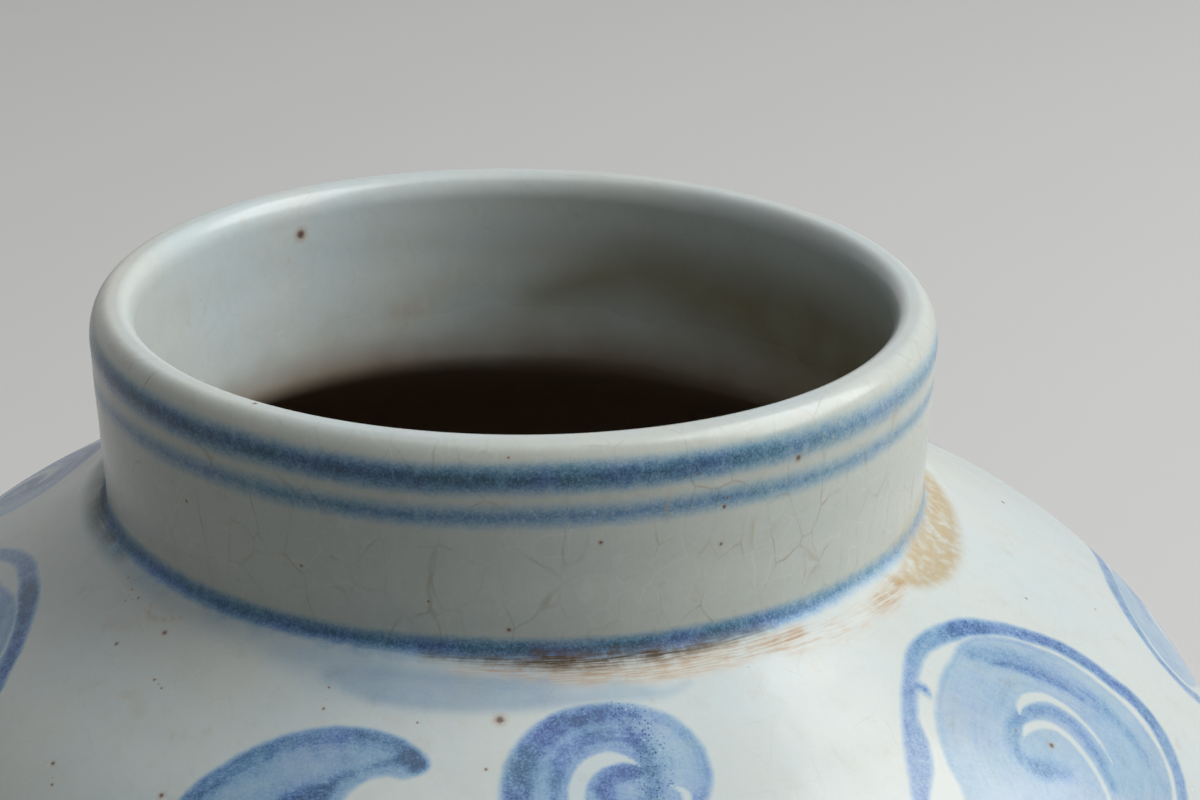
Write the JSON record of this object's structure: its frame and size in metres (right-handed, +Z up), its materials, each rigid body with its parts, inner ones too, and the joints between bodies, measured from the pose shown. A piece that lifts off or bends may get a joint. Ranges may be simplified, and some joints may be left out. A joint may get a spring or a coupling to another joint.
{
  "type": "jar",
  "caption": "Thrown porcelain storage jar: rolled lip, short upright neck, full shoulder tapering to a foot ring, cobalt-blue bands and scrolls under the glaze.",
  "frame": {"origin": "centre of the circle that the foot ring stands on", "axes": "+Z up along the axis of the jar, from the foot to the mouth; -Y towards the side the picture shows"},
  "size_m": [0.2746, 0.2746, 0.29],
  "materials": {
    "glazed_porcelain": "glossy greyish-white glaze with fine tan crackle, over cobalt-blue bands and scrolls",
    "footed_base": "glazed outside and over the floor, bare clay fired tan on the foot ring's rim",
    "dried_slip": "fired slip under glaze"
  },
  "bodies": {
    "root": {"footed_base": "footed_base", "base_slip": "dried_slip", "lower_bowl": "glazed_porcelain", "belly_slip": "dried_slip", "upper_bowl": "glazed_porcelain", "neck_slip": "dried_slip", "neck_collar": "glazed_porcelain"}
  },
  "joints": []
}
